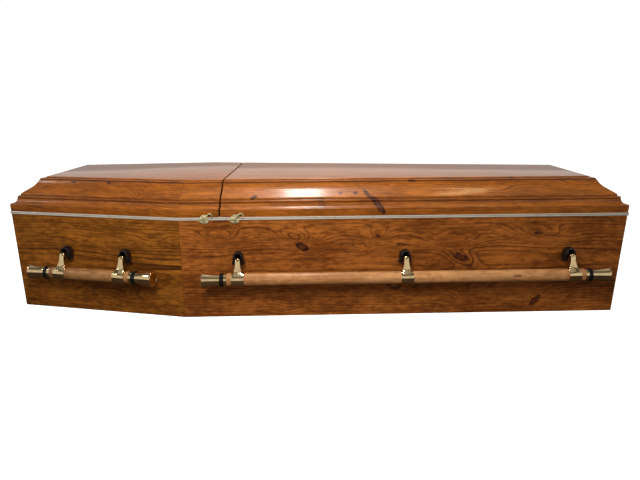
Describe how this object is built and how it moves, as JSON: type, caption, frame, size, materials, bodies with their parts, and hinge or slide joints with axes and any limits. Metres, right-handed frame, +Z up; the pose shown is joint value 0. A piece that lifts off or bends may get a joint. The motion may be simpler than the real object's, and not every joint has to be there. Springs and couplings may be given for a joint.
{
  "type": "wooden coffin",
  "caption": "Shoulder-shaped wooden coffin, empty inside, with a split lid in a deep mitred moulding and swinging bar handles for carrying.",
  "frame": {"origin": "on the floor, under the middle of the case", "axes": "+X to the foot end, +Y to the left side of a person lying in it, +Z up"},
  "size_m": [2.0048, 0.801, 0.4389],
  "materials": {
    "side_wood": "stained knotty pine, gloss varnish",
    "lid_wood": "stained pine, gloss varnish",
    "base_wood": "plain board",
    "bar_wood": "turned bar, satin varnish",
    "edging": "satin, two beads",
    "brass": "polished, antique",
    "pale_brass": "cast, pale antique",
    "black_metal": "gloss black",
    "black_band": "gloss black"
  },
  "bodies": {
    "case": {"right_head_side": "side_wood", "right_foot_side": "side_wood", "left_foot_side": "side_wood", "left_head_side": "side_wood", "head_end": "side_wood", "foot_end": "side_wood", "base_board": "base_wood", "edging_strip": "edging", "head_lid_end_rail": "lid_wood", "head_lid_right_rail": "lid_wood", "head_lid_left_rail": "lid_wood", "head_lid_right_shoulder_rail": "lid_wood", "head_lid_left_shoulder_rail": "lid_wood", "foot_lid_right_rail": "lid_wood", "foot_lid_left_rail": "lid_wood", "foot_lid_end_rail": "lid_wood", "head_lid_panel": "lid_wood", "foot_lid_panel": "lid_wood", "head_lid_catch": "pale_brass", "foot_lid_catch": "pale_brass", "right_short_handle_ear_1": "black_metal", "right_short_handle_ear_2": "black_metal", "right_long_handle_ear_1": "black_metal", "right_long_handle_ear_2": "black_metal", "right_long_handle_ear_3": "black_metal", "left_short_handle_ear_1": "black_metal", "left_short_handle_ear_2": "black_metal", "left_long_handle_ear_1": "black_metal", "left_long_handle_ear_2": "black_metal", "left_long_handle_ear_3": "black_metal"},
    "right_short_handle": {"right_short_handle_arm_1": "brass", "right_short_handle_arm_2": "brass", "right_short_handle_bar": "bar_wood", "right_short_handle_tip_1": "brass", "right_short_handle_band_1": "black_band", "right_short_handle_tip_2": "brass", "right_short_handle_band_2": "black_band"},
    "right_long_handle": {"right_long_handle_arm_1": "brass", "right_long_handle_arm_2": "brass", "right_long_handle_arm_3": "brass", "right_long_handle_bar": "bar_wood", "right_long_handle_tip_1": "brass", "right_long_handle_band_1": "black_band", "right_long_handle_tip_2": "brass", "right_long_handle_band_2": "black_band"},
    "left_short_handle": {"left_short_handle_arm_1": "brass", "left_short_handle_arm_2": "brass", "left_short_handle_bar": "bar_wood", "left_short_handle_tip_1": "brass", "left_short_handle_band_1": "black_band", "left_short_handle_tip_2": "brass", "left_short_handle_band_2": "black_band"},
    "left_long_handle": {"left_long_handle_arm_1": "brass", "left_long_handle_arm_2": "brass", "left_long_handle_arm_3": "brass", "left_long_handle_bar": "bar_wood", "left_long_handle_tip_1": "brass", "left_long_handle_band_1": "black_band", "left_long_handle_tip_2": "brass", "left_long_handle_band_2": "black_band"}
  },
  "joints": [
    {"name": "right_short_handle_swing", "type": "hinge", "parent": "case", "child": "right_short_handle", "pos_m": [-0.70149, -0.30015, 0.191], "axis": [-0.9884, 0.1521, 0], "range_deg": [0, 50]},
    {"name": "right_long_handle_swing", "type": "hinge", "parent": "case", "child": "right_long_handle", "pos_m": [0.29377, -0.29646, 0.191], "axis": [-0.9978, -0.067, 0], "range_deg": [0, 50]},
    {"name": "left_short_handle_swing", "type": "hinge", "parent": "case", "child": "left_short_handle", "pos_m": [-0.70149, 0.30015, 0.191], "axis": [0.9884, 0.1521, 0], "range_deg": [0, 50]},
    {"name": "left_long_handle_swing", "type": "hinge", "parent": "case", "child": "left_long_handle", "pos_m": [0.29377, 0.29646, 0.191], "axis": [0.9978, -0.067, 0], "range_deg": [0, 50]}
  ]
}
